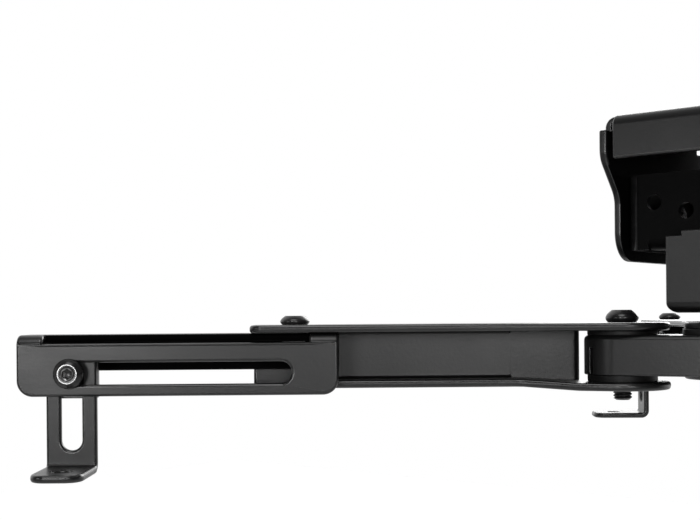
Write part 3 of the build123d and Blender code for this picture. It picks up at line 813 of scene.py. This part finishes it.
@dataclass
class ArmGroup:
    """One jointed arm from its link to its foot."""

    arm: Arm
    sheet_edge: float = 0.9 * MILLIMETRE
    link_edge: float = 0.35 * MILLIMETRE
    small_edge: float = 0.25 * MILLIMETRE
    edge_segments: int = 3
    rail_hollow: float = 7.55 * MILLIMETRE
    rail_top: float = -67.7 * MILLIMETRE
    wall_end: float = 11.5 * MILLIMETRE
    wall_face: float = -10.0 * MILLIMETRE
    near: float = 0.1 * MILLIMETRE
    m5_head: float = 9.5 * MILLIMETRE
    m5_head_height: float = 2.9 * MILLIMETRE
    m5_flat: float = 6.2 * MILLIMETRE
    m5_socket: float = 3.0 * MILLIMETRE
    m5: float = 5.0 * MILLIMETRE
    m5_pitch: float = 0.8 * MILLIMETRE
    m6_head: float = 10.5 * MILLIMETRE
    m6_head_height: float = 4.0 * MILLIMETRE
    m6_low_height: float = 2.2 * MILLIMETRE
    m6_flat: float = 6.4 * MILLIMETRE
    m6_low_flat: float = 7.4 * MILLIMETRE
    m6_socket: float = 4.0 * MILLIMETRE
    m6: float = 6.0 * MILLIMETRE
    m6_pitch: float = 1.0 * MILLIMETRE
    thread_length: float = 8.0 * MILLIMETRE

    def named(self, stem: str) -> str:
        """Node name of a piece of this arm."""
        return stem + "_" + self.arm.value

    def build(self) -> list[bpy.types.Object]:
        """Model the arm's pieces.

        Returns:
            The finished objects.
        """
        return [
            self.sheet("arm", self.sheet_edge, is_rounded=self.on_wall_end).build(),
            self.sheet("foot", self.sheet_edge).build(),
            self.sheet("link", self.link_edge).build(),
            self.sheet("rail", self.sheet_edge, is_inside=self.in_shaded_rail).build(),
            SheetPiece(self.named("link_nut"), BLACK_OXIDE, self.small_edge).build(),
            SheetPiece(self.named("rail_nut"), BLACK_OXIDE, self.small_edge).build(),
            SheetPiece(self.named("clamp_nut"), BLACK_OXIDE, self.small_edge).build(),
            SheetPiece(self.named("link_washers"), NYLON, self.small_edge).build(),
            self.m6_screw("elbow_screw", self.m6_head_height, self.m6_flat).build(),
            self.m6_screw("link_screw", self.m6_low_height, self.m6_low_flat).build(),
            self.m5_screw("rail_screw", UP).build(),
            self.m5_screw("clamp_screw", self.facing()).build(),
        ]

    def outward(self) -> Vector:
        """Direction along the arm, from the elbow to the tip."""
        return joint_axis(self.named("clamp_slide"))

    def facing(self) -> Vector:
        """Direction across the arm, out of its open side."""
        return UP.cross(self.outward())

    def from_elbow(self, spot: Vector) -> Vector:
        """Way from the elbow's hinge to a spot."""
        return spot - joint_place(self.named("elbow"))

    def on_wall_end(self, spot: Vector) -> bool:
        """Tell whether a spot lies on the inner corner of the wall's end, by the elbow.

        Args:
            spot: A place in the part's frame.

        Returns:
            Whether it lies there.
        """
        way = self.from_elbow(spot)
        at_end = abs(way.dot(self.outward()) - self.wall_end) < self.near
        return at_end and abs(way.dot(self.facing()) - self.wall_face) < self.near

    def in_shaded_rail(self, spot: Vector) -> bool:
        """Whether a spot lies between the rail's flanges and under its web, where the faces get painted shade."""
        across = self.from_elbow(spot).dot(self.facing())
        return abs(across) < self.rail_hollow and spot.z < self.rail_top

    def sheet(self, stem: str, edge: float, **picks: Callable[[Vector], bool]) -> SheetPiece:
        """Folded and coated sheet of this arm, with tests for its painted shade or its wide rounding."""
        return SheetPiece(self.named(stem), ARM_COAT, edge, self.edge_segments, **picks)

    def m5_screw(self, stem: str, axis: Vector) -> SocketScrew:
        """Small domed screw along an axis.

        Args:
            stem: The screw's name without the arm's.
            axis: Direction from the shank to the head.

        Returns:
            The screw, not yet built.
        """
        return SocketScrew(
            self.named(stem), axis, self.m5_head, self.m5_head_height, self.m5_flat, self.m5_socket,
            self.m5, self.m5_pitch, self.thread_length,
        )

    def m6_screw(self, stem: str, height: float, flat: float) -> SocketScrew:
        """Upright pivot screw.

        Args:
            stem: The screw's name without the arm's.
            height: Height of its head.
            flat: Width of the flat on its head.

        Returns:
            The screw, not yet built.
        """
        return SocketScrew(
            self.named(stem), UP, self.m6_head, height, flat, self.m6_socket,
            self.m6, self.m6_pitch, self.thread_length,
        )


@dataclass(frozen=True)
class SoftBox:
    """A square soft lamp that looks at the part's middle."""

    name: str
    place: tuple[float, float, float]
    size: float
    watts: float

    def hang(self) -> None:
        """Hang the lamp, unseen by the camera."""
        data = bpy.data.lights.new(self.name, "AREA")
        data.shape = "SQUARE"
        data.size = self.size
        data.energy = self.watts
        lamp = bpy.data.objects.new(self.name, data)
        lamp.location = self.place
        lamp.visible_camera = False
        middle = (CAD_BOX[0] + CAD_BOX[1]) / 2
        lamp.rotation_euler = (middle - Vector(self.place)).to_track_quat("-Z", "Y").to_euler()
        bpy.context.scene.collection.objects.link(lamp)


@dataclass
class Studio:
    """Plain white studio: floor, world, soft lamps and the camera at the photograph's angle."""

    floor_drop: float = 1.20
    floor_size: float = 14.0
    camera_place: tuple[float, float, float] = (0.0976, -0.3763, -0.0623)
    camera_azimuth: float = 38.0
    focal_length: float = 59.8
    shift_up: float = 0.08
    picture_width: float = 36.0
    camera_roll: float = -0.45
    nearest_seen: float = 0.01
    floor_colour: tuple[float, float, float, float] = (0.8, 0.8, 0.8, 1.0)
    floor_roughness: float = 0.9
    floor_glow: float = 0.62
    floor_mirrored: float = 0.04
    backdrop_edge: tuple[float, float] = (-0.15, 0.45)
    ceiling_edge: float = 0.1
    room_glow: float = 0.03
    sky_glow: float = 0.2
    lamps: tuple[SoftBox, ...] = (
        SoftBox("key soft box", (0.28, -1.27, 0.0), 0.28, 2.9),
        SoftBox("right soft box", (0.87, -1.0, 0.06), 0.36, 2.9),
        SoftBox("left soft box", (-0.48, -1.19, 0.06), 0.30, 0.9),
        SoftBox("overhead soft box", (0.20, -0.75, 1.05), 0.7, 5.0),
        SoftBox("back soft box", (-0.3, 1.2, 0.5), 0.9, 10.0),
    )

    def build(self) -> None:
        """Set up the floor, the light, the camera and the view transform."""
        self.add_floor()
        self.add_world()
        for lamp in self.lamps:
            lamp.hang()
        self.add_camera()
        bpy.context.scene.view_settings.view_transform = "Standard"

    def add_floor(self) -> None:
        """Lay a pale floor that is dim in reflections and keeps the part's shadow."""
        level = CAD_BOX[0].z - self.floor_drop
        half = self.floor_size / 2
        mesh = bpy.data.meshes.new("studio_floor")
        corners = [(-half, -half, level), (half, -half, level), (half, half, level), (-half, half, level)]
        mesh.from_pydata(corners, [], [(0, 1, 2, 3)])
        floor = bpy.data.objects.new("studio_floor", mesh)
        bpy.context.scene.collection.objects.link(floor)
        material = bpy.data.materials.new("pale floor")
        material.use_nodes = True
        nodes = Nodes(material.node_tree)
        shader = material.node_tree.nodes["Principled BSDF"]
        shader.inputs["Base Color"].default_value = self.floor_colour
        shader.inputs["Roughness"].default_value = self.floor_roughness
        shader.inputs["Emission Color"].default_value = WHITE
        path = nodes.add("ShaderNodeLightPath")
        mirrored = nodes.math("MULTIPLY", path.outputs["Is Glossy Ray"], self.floor_mirrored)
        straight = nodes.math("MULTIPLY", path.outputs["Is Camera Ray"], self.floor_glow)
        nodes.link(nodes.math("MAXIMUM", straight, mirrored), shader.inputs["Emission Strength"])
        mesh.materials.append(material)

    def add_world(self) -> None:
        """Stand the part before a white backdrop in a dim room with a paler ceiling."""
        world = bpy.data.worlds.new("white studio")
        bpy.context.scene.world = world
        world.use_nodes = True
        nodes = Nodes(world.node_tree)
        background = world.node_tree.nodes["Background"]
        background.inputs["Color"].default_value = WHITE
        seen = nodes.add("ShaderNodeLightPath").outputs["Is Camera Ray"]
        way = nodes.add("ShaderNodeTexCoord").outputs["Generated"]
        backdrop = nodes.add("ShaderNodeVectorMath", operation="DOT_PRODUCT")
        turn = math.radians(self.camera_azimuth)
        backdrop.inputs[1].default_value = (-math.sin(turn), math.cos(turn), 0.0)
        nodes.link(way, backdrop.inputs[0])
        behind = nodes.add("ShaderNodeMapRange", clamp=True, interpolation_type="SMOOTHSTEP")
        behind.inputs["From Min"].default_value = self.backdrop_edge[0]
        behind.inputs["From Max"].default_value = self.backdrop_edge[1]
        nodes.link(backdrop.outputs["Value"], behind.inputs["Value"])
        rise = nodes.add("ShaderNodeSeparateXYZ")
        nodes.link(way, rise.inputs[0])
        above = nodes.add("ShaderNodeMapRange", clamp=True, interpolation_type="SMOOTHSTEP")
        above.inputs["From Min"].default_value = self.ceiling_edge
        above.inputs["To Min"].default_value = self.room_glow
        above.inputs["To Max"].default_value = self.sky_glow
        nodes.link(rise.outputs["Z"], above.inputs["Value"])
        room = nodes.math("MAXIMUM", behind.outputs["Result"], above.outputs["Result"])
        unseen = nodes.math("MULTIPLY", nodes.math("SUBTRACT", 1.0, seen), room)
        nodes.link(nodes.math("ADD", seen, unseen), background.inputs["Strength"])

    def add_camera(self) -> None:
        """Stand the camera where the photograph was taken, rolled and shifted up a little."""
        data = bpy.data.cameras.new("photo camera")
        data.sensor_width = self.picture_width
        data.lens = self.focal_length
        data.shift_y = self.shift_up
        data.clip_start = self.nearest_seen
        camera = bpy.data.objects.new("photo camera", data)
        camera.location = self.camera_place
        turn = Matrix.Rotation(math.radians(self.camera_azimuth), 4, "Z")
        level = Matrix.Rotation(math.pi / 2, 4, "X")
        roll = Matrix.Rotation(math.radians(self.camera_roll), 4, "Z")
        camera.rotation_euler = (turn @ level @ roll).to_euler()
        bpy.context.scene.collection.objects.link(camera)
        bpy.context.scene.camera = camera


def main() -> None:
    """Build the effects, the sub-assemblies and the studio, in order."""
    logging.basicConfig(level=logging.INFO, format="%(message)s")
    coat_grain_group()
    rub_group()
    dust_group()
    groups = [CeilingGroup(), HubGroup()] + [ArmGroup(arm) for arm in Arm]
    count = sum(len(group.build()) for group in groups)
    Studio().build()
    log.info("%d pieces dressed", count)


if __name__ == "__main__":
    main()
